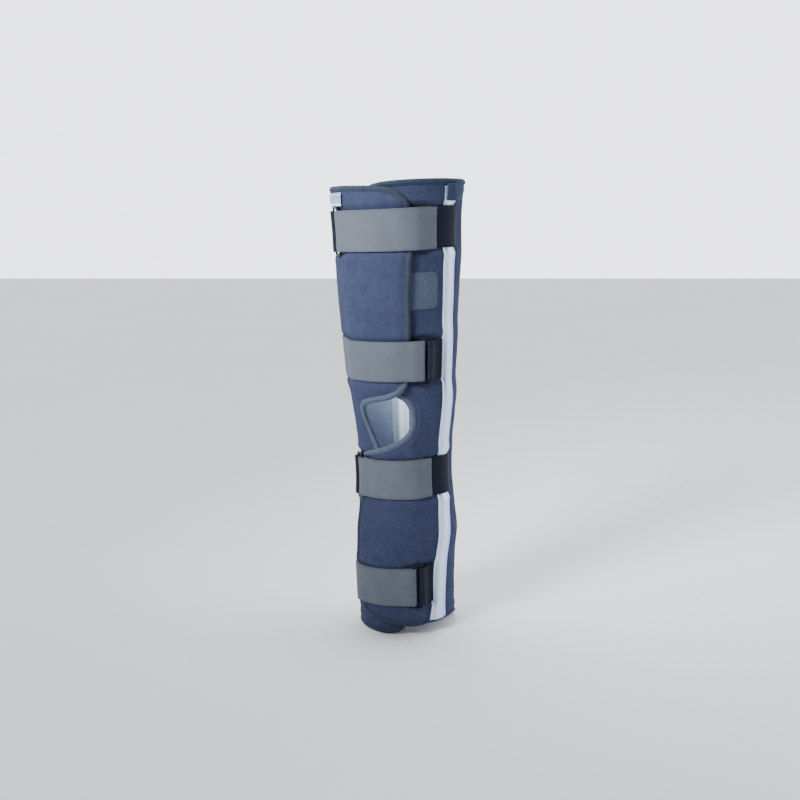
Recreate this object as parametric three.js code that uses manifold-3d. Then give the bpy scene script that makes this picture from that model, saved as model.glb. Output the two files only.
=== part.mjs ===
// Knee immobilizer, standing on its lower rim: a foam wrap with two flaps that cross at the kneecap,
// bound edges, a stay pocket down the outer side and four webbing straps that fold back through loops.
// Millimetres, +Z up. The kneecap faces -Y, and the origin is on the floor under the brace's middle.
import * as THREE from 'three';
import { mergeVertices } from 'three/addons/utils/BufferGeometryUtils.js';
import Module from 'manifold-3d';

const wasm = await Module();
wasm.setup();

// Wrap
const braceHeight = 578;
const topRadius = 84.5; // outside of the wrap at the top rim
const wallThickness = 4;
const rimSlant = 10; // how far the rims rise towards the outer side
const strapSqueeze = 3; // how far a strap pulls the foam in

// Edge tape, folded over the cut edges
const tapeThickness = 0.8;
const tapeWidth = 7;
const tapeClearance = 0.6;
const tapeJoint = 0.8; // gap between the ends of two lengths of tape

// Straps and their loops
const webbingWidth = 50;
const webbingThickness = 1.6;
const webbingClearance = 0.5;
const webbingLayerGap = 0.4;
const barWidth = 2.8;
const barThickness = 2.2;
const barClearance = 0.35;
const slotGap = 3.5; // space that shows between the strap's fold and the tab's fold
const loopEndGap = 2; // room above and below the webbing inside a loop
const loopEndWidth = 3.4;
const loopCornerRadius = 3;
const bridgeSlope = 0.45; // mm of lift that a taut strap sheds per degree

// Stay pocket, its top flap, and the stay inside the back
const pocketWidth = 22;
const pocketProud = 3.4;
const pocketHemProud = 1.3;
const sewnGap = 0.45; // between a sewn-on piece and the wrap
const flapWidth = 24;
const flapThickness = 1.6;
const flapLength = 20;
const backStayWidth = 21;
const backStayProud = 2.6;
const backStayAngle = 205;

// Small sewn pieces
const patchHeight = 45;
const patchThickness = 1;
const patchCorner = 7;
const labelHeight = 15;
const labelThickness = 0.7;

// Cross-section of the relaxed wrap: shares of braceHeight and of topRadius. sway is how far its centre
// lies towards the outer side.
const girthTable = [
  { height: 0.000, radius: 0.740, sway: 0.007 },
  { height: 0.046, radius: 0.746, sway: 0.007 },
  { height: 0.115, radius: 0.750, sway: 0.007 },
  { height: 0.226, radius: 0.772, sway: 0.042 },
  { height: 0.278, radius: 0.746, sway: 0.042 },
  { height: 0.360, radius: 0.708, sway: 0.042 },
  { height: 0.435, radius: 0.735, sway: 0.034 },
  { height: 0.492, radius: 0.779, sway: 0.040 },
  { height: 0.536, radius: 0.816, sway: 0.036 },
  { height: 0.624, radius: 0.860, sway: 0.000 },
  { height: 0.704, radius: 0.893, sway: -0.012 },
  { height: 0.757, radius: 0.920, sway: -0.010 },
  { height: 0.809, radius: 0.938, sway: -0.006 },
  { height: 0.899, radius: 0.948, sway: 0.006 },
  { height: 0.967, radius: 0.982, sway: 0.010 },
  { height: 1.000, radius: 1.000, sway: 0.014 },
];

// Rims. turn is the angle round the wrap, from the kneecap towards the outer side, and it passes 360
// where the inner flap comes round to the front again. Shares of rimSlant.
const topRimTable = [
  { turn: -80, drop: 0.60 },
  { turn: -5, drop: 0.55 },
  { turn: 8, drop: 0.25 },
  { turn: 61, drop: 0.00 },
  { turn: 77, drop: 0.05 },
  { turn: 95, drop: 0.10 },
  { turn: 120, drop: 0.30 },
  { turn: 180, drop: 0.70 },
  { turn: 270, drop: 0.90 },
  { turn: 297, drop: 0.65 },
  { turn: 335, drop: 0.60 },
  { turn: 347, drop: 0.65 },
  { turn: 400, drop: 0.75 },
];
const bottomRimTable = [
  { turn: -80, rise: 1.3 },
  { turn: 60, rise: 1.3 },
  { turn: 99, rise: 1.15 },
  { turn: 126, rise: 0 },
  { turn: 400, rise: 0 },
];

// Free edges of the two flaps from top to bottom: front is the angle from the kneecap in degrees,
// height a share of braceHeight. The first and last rows only give the angle at which they meet the rim.
const innerFlapTable = [
  { front: -6, height: null },
  { front: 1, height: 0.9850 },
  { front: 8, height: 0.9830 },
  { front: 15, height: 0.9790 },
  { front: 20, height: 0.9720 },
  { front: 25.5, height: 0.9590 },
  { front: 28.5, height: 0.9470 },
  { front: 30, height: 0.9330 },
  { front: 30.8, height: 0.9050 },
  { front: 30.8, height: 0.8590 },
  { front: 29.3, height: 0.8030 },
  { front: 28.4, height: 0.7510 },
  { front: 28.1, height: 0.6820 },
  { front: 27, height: 0.6090 },
  { front: 24.5, height: 0.5740 },
  { front: 20.5, height: 0.5610 },
  { front: 14.5, height: 0.5500 },
  { front: 4, height: 0.5410 },
  { front: -7, height: 0.5357 },
  { front: -16, height: 0.5305 },
  { front: -22, height: 0.5245 },
  { front: -25.3, height: 0.5140 },
  { front: -26, height: 0.4980 },
  { front: -24, height: 0.4780 },
  { front: -20, height: 0.4520 },
  { front: -15.5, height: 0.4330 },
  { front: -8, height: 0.4110 },
  { front: 4, height: 0.3860 },
  { front: 15, height: 0.3580 },
  { front: 21, height: 0.3220 },
  { front: 22, height: 0.2780 },
  { front: 22, height: 0.1040 },
  { front: 21, height: 0.0560 },
  { front: 17, height: 0.0250 },
  { front: 10, height: 0.0115 },
  { front: 2, height: 0.0060 },
  { front: -8, height: null },
];
const outerFlapTable = [
  { front: 6, height: null },
  { front: -3, height: 0.9870 },
  { front: -9, height: 0.9760 },
  { front: -12, height: 0.9520 },
  { front: -12, height: 0.6960 },
  { front: -12, height: 0.6120 },
  { front: -9, height: 0.5780 },
  { front: -2, height: 0.5600 },
  { front: 7, height: 0.5500 },
  { front: 14, height: 0.5430 },
  { front: 20, height: 0.5350 },
  { front: 24.5, height: 0.5210 },
  { front: 26.6, height: 0.5010 },
  { front: 26.3, height: 0.4800 },
  { front: 23, height: 0.4630 },
  { front: 18, height: 0.4520 },
  { front: 11, height: 0.4430 },
  { front: 0, height: 0.4335 },
  { front: -12, height: 0.4255 },
  { front: -24, height: 0.4180 },
  { front: -33, height: 0.4100 },
  { front: -39, height: 0.3970 },
  { front: -41, height: 0.3790 },
  { front: -40.5, height: 0.3560 },
  { front: -39, height: 0.3300 },
  { front: -40, height: 0.3030 },
  { front: -43, height: 0.2780 },
  { front: -45, height: 0.2430 },
  { front: -45.5, height: 0.2090 },
  { front: -45, height: 0.1740 },
  { front: -43, height: 0.1300 },
  { front: -40, height: 0.0870 },
  { front: -36, height: 0.0640 },
  { front: -29, height: 0.0485 },
  { front: -19, height: 0.0402 },
  { front: -6, height: 0.0325 },
  { front: 8, height: 0.0290 },
  { front: 18, height: 0.0272 },
  { front: 27, height: 0.0262 },
  { front: 36, height: null },
];

// Straps from the thigh down. side is the loop's: 1 the outer side, -1 the inner. Angles from the kneecap.
const strapTable = [
  { name: 'thigh_strap_upper', height: 0.897, side: -1, sewn: 86, loop: -44, end: 55, tab: -78 },
  { name: 'thigh_strap_lower', height: 0.621, side: 1, sewn: -98, loop: 43, end: -80, tab: 62.5 },
  { name: 'calf_strap_upper', height: 0.359, side: -1, sewn: 90, loop: -44, end: 52, tab: -74 },
  { name: 'calf_strap_lower', height: 0.115, side: 1, sewn: -96, loop: 31, end: -80, tab: 50 },
];

// The stay pocket's front edge, and its section as shares of pocketWidth
const pocketEdgeTable = [
  { height: 0.00, front: 47.5 },
  { height: 0.04, front: 48.5 },
  { height: 0.16, front: 53.9 },
  { height: 0.32, front: 59.8 },
  { height: 0.44, front: 62.4 },
  { height: 0.64, front: 64.6 },
  { height: 0.86, front: 63.2 },
  { height: 1.00, front: 63 },
];
const pocketSection = [
  { across: 0.00, raised: 0 },
  { across: 0.10, raised: 0 },
  { across: 0.20, raised: 0.9 },
  { across: 0.50, raised: 1 },
  { across: 0.80, raised: 0.9 },
  { across: 0.90, raised: 0 },
  { across: 1.00, raised: 0 },
];

const wallStep = 9; // degrees between the wrap's facets
const windowTopShare = 0.533; // the flaps change places between these two heights
const windowBottomShare = 0.442;
const innerRamp = { start: 315, end: 333 };
const outerRamp = { start: 45, end: 27 };
const seamTurns = { outer: 54, inner: 315 };
const outermostTurn = 396;
const firstTurn = -72;

const tapeProud = tapeClearance + tapeThickness;
const layerClearance = 0.4;
const layerStep = wallThickness + 2 * tapeProud + layerClearance;
const sagittaRoom = 0.2; // chords of the wrap's facets
const foldRadius = Math.hypot(barWidth, barThickness) / 2 + barClearance + webbingThickness / 2;
const radians = THREE.MathUtils.degToRad;
const degrees = THREE.MathUtils.radToDeg;

function lookUp(rows, along, column, value) {
  const last = rows.length - 1;
  if (value <= rows[0][along]) return rows[0][column];
  if (value >= rows[last][along]) return rows[last][column];
  const next = rows.findIndex((row) => row[along] >= value);
  const [a, b] = [rows[next - 1], rows[next]];
  const share = (value - a[along]) / (b[along] - a[along]);
  return a[column] + share * (b[column] - a[column]);
}

const straps = strapTable.map((row) => {
  const middle = row.height * braceHeight;
  return { ...row, middle, low: middle - webbingWidth / 2, high: middle + webbingWidth / 2 };
});

// Heights at which the wrap's slope changes: the girth table outside the straps, the straps' edges, and
// the heights between which the flaps change places
const underStrap = (z) => straps.some((strap) => z > strap.low && z < strap.high);
const windowTop = windowTopShare * braceHeight;
const windowBottom = windowBottomShare * braceHeight;
const relaxed = (column, z) => topRadius * lookUp(girthTable, 'height', column, z / braceHeight);
const levels = [
  ...girthTable
    .map((row) => ({ z: row.height * braceHeight, middle: row.height * braceHeight, squeeze: 0 }))
    .filter((level) => !underStrap(level.z)),
  ...straps.flatMap((strap) => [
    { z: strap.low, middle: strap.middle, squeeze: strapSqueeze },
    { z: strap.high, middle: strap.middle, squeeze: strapSqueeze },
  ]),
  ...[0, 0.25, 0.75, 1].map((share) => {
    const z = windowBottom + share * (windowTop - windowBottom);
    return { z, middle: z, squeeze: 0 };
  }),
]
  .sort((a, b) => a.z - b.z)
  .map(({ z, middle, squeeze }) => ({ z, radius: relaxed('radius', z) - squeeze, sway: relaxed('sway', middle) }));
const skinRadius = (z) => lookUp(levels, 'z', 'radius', z);
const swayAt = (z) => lookUp(levels, 'z', 'sway', z);

// How far a flap's sheet is lifted where it lies over the other one
const clampShare = (value) => Math.min(1, Math.max(0, value));
function sheetLift(turn, z) {
  const innerOnTop = clampShare((z - windowBottom) / (windowTop - windowBottom));
  if (turn > 180) {
    return layerStep * innerOnTop * clampShare((turn - innerRamp.start) / (innerRamp.end - innerRamp.start));
  }
  const round = clampShare((outerRamp.start - turn) / (outerRamp.start - outerRamp.end));
  return layerStep * (1 - innerOnTop) * round;
}

const polar = (turn, radius, z) =>
  new THREE.Vector3(radius * Math.sin(radians(turn)), -radius * Math.cos(radians(turn)), z);
const onSkin = (turn, z, depth) => {
  const point = polar(turn, skinRadius(z) + depth, z);
  return point.setX(point.x + swayAt(z));
};
const onSheet = (turn, z, depth) => onSkin(turn, z, sheetLift(turn, z) + depth);
const arcToTurn = (length, z) => degrees(length / skinRadius(z));

const rimTop = (turn) => braceHeight - tapeProud - rimSlant * lookUp(topRimTable, 'turn', 'drop', turn);
const rimBottom = (turn) => tapeProud + rimSlant * lookUp(bottomRimTable, 'turn', 'rise', turn);

// A closed mesh from points and faces with any number of corners
function solidOf(points, faces) {
  const positions = new Float32Array(points.flatMap((point) => [point.x, point.y, point.z]));
  const index = faces.flatMap((face) => face.slice(2).flatMap((_, i) => [face[0], face[i + 1], face[i + 2]]));
  const geometry = new THREE.BufferGeometry();
  geometry.setAttribute('position', new THREE.BufferAttribute(positions, 3));
  geometry.setIndex(index);
  return geometry;
}

// A curved slab: pointAt(column, row, side) with side 0 inside and 1 outside, rows upwards, columns by turn
function slab(columns, rows, pointAt) {
  const points = [];
  const faces = [];
  const at = (i, j, side) => (side * (rows + 1) + j) * (columns + 1) + i;
  for (const side of [0, 1]) {
    for (let j = 0; j <= rows; j += 1) {
      for (let i = 0; i <= columns; i += 1) points.push(pointAt(i, j, side));
    }
  }
  for (let j = 0; j < rows; j += 1) {
    for (let i = 0; i < columns; i += 1) {
      faces.push([at(i, j, 1), at(i + 1, j, 1), at(i + 1, j + 1, 1), at(i, j + 1, 1)]);
      faces.push([at(i, j, 0), at(i, j + 1, 0), at(i + 1, j + 1, 0), at(i + 1, j, 0)]);
    }
    faces.push([at(0, j, 0), at(0, j, 1), at(0, j + 1, 1), at(0, j + 1, 0)]);
    faces.push([at(columns, j, 1), at(columns, j, 0), at(columns, j + 1, 0), at(columns, j + 1, 1)]);
  }
  for (let i = 0; i < columns; i += 1) {
    faces.push([at(i, 0, 0), at(i + 1, 0, 0), at(i + 1, 0, 1), at(i, 0, 1)]);
    faces.push([at(i, rows, 1), at(i + 1, rows, 1), at(i + 1, rows, 0), at(i, rows, 0)]);
  }
  return solidOf(points, faces);
}

// A section of fixed corners carried through rings of points, closed at both ends by the caps' faces
function sweep(rings, caps) {
  const size = rings[0].length;
  const faces = [];
  for (let r = 0; r + 1 < rings.length; r += 1) {
    for (let i = 0; i < size; i += 1) {
      const next = (i + 1) % size;
      faces.push([r * size + i, r * size + next, (r + 1) * size + next, (r + 1) * size + i]);
    }
  }
  const lastRing = (rings.length - 1) * size;
  for (const cap of caps) {
    faces.push([...cap].reverse());
    faces.push(cap.map((corner) => lastRing + corner));
  }
  return solidOf(rings.flat(), faces);
}

function toManifold(geometry) {
  const bare = new THREE.BufferGeometry();
  bare.setAttribute('position', geometry.getAttribute('position'));
  bare.setIndex(geometry.getIndex());
  const merged = mergeVertices(bare, 1e-4);
  const vertProperties = new Float32Array(merged.getAttribute('position').array);
  const triVerts = new Uint32Array(merged.getIndex().array);
  return new wasm.Manifold(new wasm.Mesh({ numProp: 3, vertProperties, triVerts }));
}

function fromManifold(solid) {
  const { vertProperties, triVerts } = solid.getMesh();
  const geometry = new THREE.BufferGeometry();
  geometry.setAttribute('position', new THREE.BufferAttribute(new Float32Array(vertProperties), 3));
  geometry.setIndex([...triVerts]);
  return geometry;
}

// A flap's free edge as points {turn, z} from bottom to top, on a smooth curve, with a point at each level
function flapEdge(table, turnOffset) {
  const rows = table.map((row, i) => {
    const turn = row.front + turnOffset;
    if (row.height !== null) return { turn, z: row.height * braceHeight };
    return { turn, z: i === 0 ? rimTop(turn) : rimBottom(turn) };
  });
  const flat = rows.map((row) => new THREE.Vector3(radians(row.turn) * skinRadius(row.z), row.z, 0));
  const curve = new THREE.CatmullRomCurve3(flat, false, 'centripetal');
  const samples = curve.getPoints(rows.length - 1);
  const points = samples.map((p) => ({ turn: degrees(p.x / skinRadius(p.y)), z: p.y })).reverse();
  const split = [];
  points.forEach((point, i) => {
    split.push(point);
    const next = points[i + 1];
    if (!next) return;
    for (const level of levels) {
      if (level.z <= point.z + 1 || level.z >= next.z - 1) continue;
      const share = (level.z - point.z) / (next.z - point.z);
      split.push({ turn: point.turn + share * (next.turn - point.turn), z: level.z });
    }
  });
  return split;
}

const innerEdge = flapEdge(innerFlapTable, 360);
const outerEdge = flapEdge(outerFlapTable, 0);

// Turns of the wrap's facets between two turns, both included
function facetTurns(from, to) {
  const turns = [];
  for (let turn = from; turn < to - 1e-6; turn += wallStep) turns.push(turn);
  turns.push(to);
  return turns;
}

function wallPiece(from, to) {
  const turns = facetTurns(from, to);
  const inside = levels.filter((level) => level.z > 2 * rimSlant && level.z < braceHeight - 1.5 * rimSlant);
  const rows = inside.length + 1;
  const heightAt = (turn, j) => {
    if (j === 0) return rimBottom(turn);
    return j === rows ? rimTop(turn) : inside[j - 1].z;
  };
  return slab(turns.length - 1, rows, (i, j, side) =>
    onSheet(turns[i], heightAt(turns[i], j), side ? 0 : -wallThickness));
}

// What lies past a flap's free edge, thick enough for both layers, to cut the flap's outline
function edgeCutter(edge, farTurn) {
  const over = 2 * rimSlant;
  const points = [{ ...edge[0], z: edge[0].z - over }, ...edge, { ...edge.at(-1), z: edge.at(-1).z + over }];
  const columns = 10;
  const margin = 2;
  return slab(columns, points.length - 1, (i, j, side) => {
    const share = farTurn > points[j].turn ? i / columns : 1 - i / columns;
    const turn = points[j].turn + share * (farTurn - points[j].turn);
    const depth = side ? layerStep + margin : -wallThickness - margin;
    return onSkin(turn, points[j].z, depth);
  });
}

function makeWrap() {
  const overshoot = 5; // the cutters reach past the sheets' ends
  const back = toManifold(wallPiece(seamTurns.outer, seamTurns.inner));
  const inner = toManifold(wallPiece(seamTurns.inner, outermostTurn))
    .subtract(toManifold(edgeCutter(innerEdge, outermostTurn + overshoot)));
  const outer = toManifold(wallPiece(firstTurn, seamTurns.outer))
    .subtract(toManifold(edgeCutter(outerEdge, firstTurn - overshoot)));
  const smallestDetail = 0.02; // slivers that the cuts leave are taken out
  const bodies = back.add(inner).add(outer).simplify(smallestDetail).decompose();
  return fromManifold(bodies.reduce((largest, body) => (body.volume() > largest.volume() ? body : largest)));
}

// Tape folded over an edge. inward is 1 where the wrap lies towards a smaller turn or a lower height
const tapeSection = [
  { reach: tapeWidth, depth: tapeProud },
  { reach: -tapeProud, depth: tapeProud },
  { reach: -tapeProud, depth: -wallThickness - tapeProud },
  { reach: tapeWidth, depth: -wallThickness - tapeProud },
  { reach: tapeWidth, depth: -wallThickness - tapeClearance },
  { reach: -tapeClearance, depth: -wallThickness - tapeClearance },
  { reach: -tapeClearance, depth: tapeClearance },
  { reach: tapeWidth, depth: tapeClearance },
];
const tapeCaps = [[0, 1, 6, 7], [1, 2, 5, 6], [2, 3, 4, 5]];

function tapeRing(point, direction) {
  const inward = new THREE.Vector2(-direction.y, direction.x);
  return tapeSection.map(({ reach, depth }) => {
    const turn = point.turn + arcToTurn(reach * inward.x, point.z);
    return onSheet(turn, point.z + reach * inward.y, depth);
  });
}

function directionAt(points, i) {
  const a = points[Math.max(0, i - 1)];
  const b = points[Math.min(points.length - 1, i + 1)];
  const radius = skinRadius(points[i].z);
  return new THREE.Vector2(radians(b.turn - a.turn) * radius, b.z - a.z).normalize();
}

// The wrap lies to the left of the points' direction
const makeTape = (points, ends) => {
  const last = points.length - 1;
  return sweep(points.map((point, i) => {
    const atEnd = i === 0 || i === last;
    return tapeRing(point, atEnd && ends ? ends[i === 0 ? 0 : 1] : directionAt(points, i));
  }), tapeCaps);
};

function rimPoints(from, to, heightOf) {
  const trim = arcToTurn(tapeJoint, heightOf(from));
  const inner = facetTurns(firstTurn, outermostTurn).filter((turn) => turn > from + 2 && turn < to - 2);
  return [from + trim, ...inner, to - trim].map((turn) => ({ turn, z: heightOf(turn) }));
}

function makeRimTape(from, to, heightOf, sign) {
  const points = rimPoints(from, to, heightOf);
  if (sign < 0) points.reverse();
  const level = new THREE.Vector2(sign, 0);
  return sweep(points.map((point) => tapeRing(point, level)), tapeCaps);
}

// Highest surface above the wrap's skin under a strap, at an angle from the kneecap
const edgeTurnAt = (edge, z) => lookUp(edge, 'z', 'turn', z);
const pocketFront = (z) => lookUp(pocketEdgeTable, 'height', 'front', z / braceHeight);
function beneath(front, z) {
  const room = arcToTurn(tapeWidth + tapeProud, z);
  const innerOver = edgeTurnAt(innerEdge, z) - 360 - front; // how far the inner flap reaches past here
  const outerOver = front - edgeTurnAt(outerEdge, z);
  const heights = [0];
  if (innerOver > -room) heights.push(sheetLift(front + 360, z) + (innerOver < room ? tapeProud : 0));
  if (outerOver > -room) heights.push(sheetLift(front, z) + (outerOver < room ? tapeProud : 0));
  const pocket = front - pocketFront(z);
  const margin = arcToTurn(2 * webbingThickness, z);
  if (pocket > -margin && pocket < arcToTurn(pocketWidth, z) + margin) heights.push(pocketProud + sagittaRoom);
  return Math.max(...heights);
}

// A taut strap keeps clear of all that, bridges between the high places and lies level under its loop
function strapLift(strap, halfLoop) {
  const heights = [0, 0.25, 0.5, 0.75, 1].map((share) => strap.low + share * webbingWidth);
  const under = [];
  for (let front = -125; front <= 125; front += 2.5) {
    const height = Math.max(...heights.map((z) => beneath(front, z)));
    under.push({ front, height, reach: wallStep });
  }
  const lift = (front) => webbingClearance + Math.max(...under.map((place) =>
    place.height - bridgeSlope * Math.max(0, Math.abs(place.front - front) - place.reach)));
  const atLoop = Math.max(lift(strap.loop - halfLoop), lift(strap.loop + halfLoop)) - webbingClearance;
  under.push({ front: strap.loop, height: atLoop, reach: halfLoop + 1 });
  return lift;
}

// Webbing whose centreline runs through places on the plan at the strap's middle height
function webbing(strap, places) {
  const rings = places.map((place, i) => {
    const before = places[Math.max(0, i - 1)];
    const after = places[Math.min(places.length - 1, i + 1)];
    const along = after.clone().sub(before).normalize();
    const across = new THREE.Vector3(-along.y, along.x, 0).multiplyScalar(webbingThickness / 2);
    const out = place.clone().normalize();
    const corner = (sign, z) => {
      const point = place.clone().addScaledVector(across, sign);
      point.addScaledVector(out, skinRadius(z) - skinRadius(strap.middle)).setZ(z);
      return point.setX(point.x + swayAt(z));
    };
    return [corner(-1, strap.low), corner(1, strap.low), corner(1, strap.high), corner(-1, strap.high)];
  });
  return sweep(rings, [[0, 1, 2, 3]]);
}

const foldSteps = 8;
const foldSpread = 16; // degrees over which the two layers close up behind a loop

// Inner layer from one end to the fold round the bar, then the outer layer back to the other end
function foldedPath(lift, radius, bar, startAt, endAt) {
  const side = Math.sign(bar - startAt);
  const centreline = (front) => radius + lift(front) + webbingThickness / 2;
  const closed = webbingThickness + webbingLayerGap;
  const outerLayer = (front) => {
    const open = clampShare(1 - Math.abs(front - bar) / foldSpread);
    return centreline(front) + closed + open * (2 * foldRadius - closed);
  };
  const between = (from, to) => {
    const step = Math.sign(to - from);
    const turns = [];
    for (let i = -14; i <= 14; i += 1) {
      const turn = i * step * wallStep;
      if ((turn - from) * step > 1.5 && (to - turn) * step > 1.5) turns.push(turn);
    }
    return [from, ...turns, to];
  };
  const barCentre = polar(bar, centreline(bar) + foldRadius, 0);
  const out = barCentre.clone().normalize();
  const onward = new THREE.Vector3(-out.y, out.x, 0).multiplyScalar(side);
  const fold = [];
  for (let i = 1; i < foldSteps; i += 1) {
    const angle = Math.PI * (i / foldSteps - 0.5);
    const point = barCentre.clone().addScaledVector(onward, foldRadius * Math.cos(angle));
    fold.push(point.addScaledVector(out, foldRadius * Math.sin(angle)));
  }
  return [
    ...between(startAt, bar).map((front) => polar(front, centreline(front), 0)),
    ...fold,
    ...between(bar, endAt).map((front) => polar(front, outerLayer(front), 0)),
  ];
}

const barSpacing = 2 * (foldRadius + webbingThickness / 2) + slotGap;

// A flat loop: two bars along the webbing's edges and two rounded ends
function loopShape() {
  const rounded = (path, width, height, radius) => {
    const [x, y] = [width / 2, height / 2];
    path.moveTo(x - radius, -y);
    path.absarc(x - radius, -y + radius, radius, -Math.PI / 2, 0, false);
    path.absarc(x - radius, y - radius, radius, 0, Math.PI / 2, false);
    path.absarc(-x + radius, y - radius, radius, Math.PI / 2, Math.PI, false);
    path.absarc(-x + radius, -y + radius, radius, Math.PI, 1.5 * Math.PI, false);
    return path;
  };
  const innerHeight = webbingWidth + 2 * loopEndGap;
  const outerHeight = innerHeight + 2 * loopEndWidth;
  const shape = rounded(new THREE.Shape(), barSpacing + barWidth, outerHeight, loopCornerRadius);
  shape.holes.push(rounded(new THREE.Path(), barSpacing - barWidth, innerHeight, loopCornerRadius / 2));
  return new THREE.ExtrudeGeometry(shape, { depth: barThickness, bevelEnabled: false, curveSegments: 2 });
}

const finishes = {
  foam: { color: 0x3c4a66, roughness: 0.85, metalness: 0 },
  tape: { color: 0x7a8598, roughness: 0.7, metalness: 0 },
  webbing: { color: 0x8a9099, roughness: 0.75, metalness: 0 },
  tab: { color: 0x4a4f5a, roughness: 0.75, metalness: 0 },
  loop: { color: 0x14161c, roughness: 0.4, metalness: 0 },
  pocket: { color: 0xdde6f5, roughness: 0.35, metalness: 0 },
  patch: { color: 0x5a6579, roughness: 0.9, metalness: 0 },
  label: { color: 0xc5d2ea, roughness: 0.5, metalness: 0 },
};

const brace = new THREE.Group();

function addPiece(name, geometry, finish, parent = brace) {
  const piece = new THREE.Mesh(geometry, new THREE.MeshStandardMaterial(finishes[finish]));
  piece.name = name;
  parent.add(piece);
  return piece;
}

function levelsBetween(low, high) {
  return [low, ...levels.map((level) => level.z).filter((z) => z > low + 2 && z < high - 2), high];
}

function addEdgeTape() {
  const innerStart = innerEdge.at(-1).turn;
  const outerStart = outerEdge.at(-1).turn;
  addPiece('edge_tape_top', makeRimTape(outerStart, innerStart, rimTop, -1), 'tape');
  addPiece('edge_tape_bottom', makeRimTape(outerEdge[0].turn, innerEdge[0].turn, rimBottom, 1), 'tape');
  const forward = new THREE.Vector2(1, 0);
  const backward = new THREE.Vector2(-1, 0);
  addPiece('edge_tape_inner_flap', makeTape(innerEdge, [forward, backward]), 'tape');
  addPiece('edge_tape_outer_flap', makeTape([...outerEdge].reverse(), [backward, forward]), 'tape');
}

function addStrap(strap) {
  const radius = skinRadius(strap.middle);
  const barHeight = webbingThickness / 2 + foldRadius;
  const halfAngle = (reach) => degrees(Math.asin(barSpacing / 2 / (radius + reach)));
  const roughLift = strapLift(strap, halfAngle(layerStep))(strap.loop);
  const halfLoop = halfAngle(roughLift + barHeight);
  const lift = strapLift(strap, halfLoop);
  const strapBar = strap.loop - strap.side * halfLoop;
  const tabBar = strap.loop + strap.side * halfLoop;
  addPiece(strap.name, webbing(strap, foldedPath(lift, radius, strapBar, strap.sewn, strap.end)), 'webbing');
  addPiece(`${strap.name}_tab`, webbing(strap, foldedPath(lift, radius, tabBar, strap.tab, strap.tab)), 'tab');

  const seat = new THREE.Group();
  const barRadius = radius + lift(strapBar) + barHeight;
  seat.position.copy(polar(strap.loop, barRadius * Math.cos(radians(halfLoop)), strap.middle));
  seat.position.x += swayAt(strap.middle);
  seat.rotation.set(Math.PI / 2, 0, 0);
  const lean = Math.atan((skinRadius(strap.high) - skinRadius(strap.low)) / webbingWidth);
  const turned = new THREE.Group();
  turned.rotation.set(lean, radians(strap.loop), 0, 'YXZ');
  const loop = addPiece(`${strap.name}_loop`, loopShape(), 'loop', turned);
  loop.position.set(0, 0, -barThickness / 2);
  seat.add(turned);
  brace.add(seat);
}

function addStayPocket() {
  const [lowFront, highFront] = [pocketFront(0), pocketFront(braceHeight)];
  const highBack = highFront + arcToTurn(pocketWidth, braceHeight);
  const low = rimBottom(lowFront) + tapeWidth + sewnGap;
  const high = Math.min(rimTop(highFront), rimTop(highBack)) - tapeWidth - sewnGap;
  const heights = levelsBetween(low, high);
  const geometry = slab(pocketSection.length - 1, heights.length - 1, (i, j, side) => {
    const z = heights[j];
    const { across, raised } = pocketSection[i];
    const proud = pocketHemProud + raised * (pocketProud - pocketHemProud);
    return onSheet(pocketFront(z) + arcToTurn(across * pocketWidth, z), z, side ? proud : sewnGap);
  });
  addPiece('stay_pocket', geometry, 'pocket');

  const uncovered = 3; // the pocket's front edge shows beside the flap
  const flapHeights = levelsBetween(high - flapLength, high);
  const flapColumns = 4;
  const flap = slab(flapColumns, flapHeights.length - 1, (i, j, side) => {
    const z = flapHeights[j];
    const turn = pocketFront(z) + arcToTurn(uncovered + (i / flapColumns) * flapWidth, z);
    return onSheet(turn, z, pocketProud + sewnGap + (side ? flapThickness : 0));
  });
  addPiece('stay_pocket_flap', flap, 'foam');
}

function addBackStay() {
  const low = rimBottom(backStayAngle) + tapeWidth + 2 * tapeProud;
  const high = rimTop(backStayAngle) - tapeWidth - 2 * tapeProud;
  const heights = levelsBetween(low, high);
  const columns = 2;
  const geometry = slab(columns, heights.length - 1, (i, j, side) => {
    const z = heights[j];
    const share = i / columns - 0.5;
    const proud = backStayProud * (1 - 2 * share * share);
    const turn = backStayAngle + arcToTurn(share * backStayWidth, z);
    return onSheet(turn, z, -wallThickness - sewnGap - (side ? 0 : proud));
  });
  addPiece('back_stay_pocket', geometry, 'pocket');
}

// A thin sewn-on piece between two angles, its corners rounded at the far end
function sewnPiece(table, thickness, corner) {
  const { from, to, middle, height, turnOffset } = table;
  const columns = 8;
  const rows = 2;
  return slab(columns, rows, (i, j, side) => {
    const turn = from + (i / columns) * (to - from);
    const toEnd = radians(to - turn) * skinRadius(middle);
    const inCorner = Math.max(0, corner - toEnd);
    const cut = corner - Math.sqrt(Math.max(0, corner * corner - inCorner * inCorner));
    const z = middle + (j / rows - 0.5) * (height - 2 * cut);
    return onSheet(turn + turnOffset, z, sewnGap + (side ? thickness : 0));
  });
}

function addSmallPieces() {
  const patchMiddle = 0.769 * braceHeight;
  const patch = { from: 12, to: 57, middle: patchMiddle, height: patchHeight, turnOffset: 0 };
  addPiece('closure_patch', sewnPiece(patch, patchThickness, patchCorner), 'patch');
  const labelTop = rimTop(310) - tapeWidth - sewnGap;
  const label = { from: -56, to: -31, middle: labelTop - labelHeight / 2, height: labelHeight, turnOffset: 360 };
  addPiece('label', sewnPiece(label, labelThickness, 0), 'label');
}

addPiece('wrap', makeWrap(), 'foam');
addEdgeTape();
straps.forEach(addStrap);
addStayPocket();
addBackStay();
addSmallPieces();

const footprint = new THREE.Box3().setFromObject(brace);
const middle = footprint.getCenter(new THREE.Vector3());
brace.position.set(-middle.x, -middle.y, -footprint.min.z);

export default brace;
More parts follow.
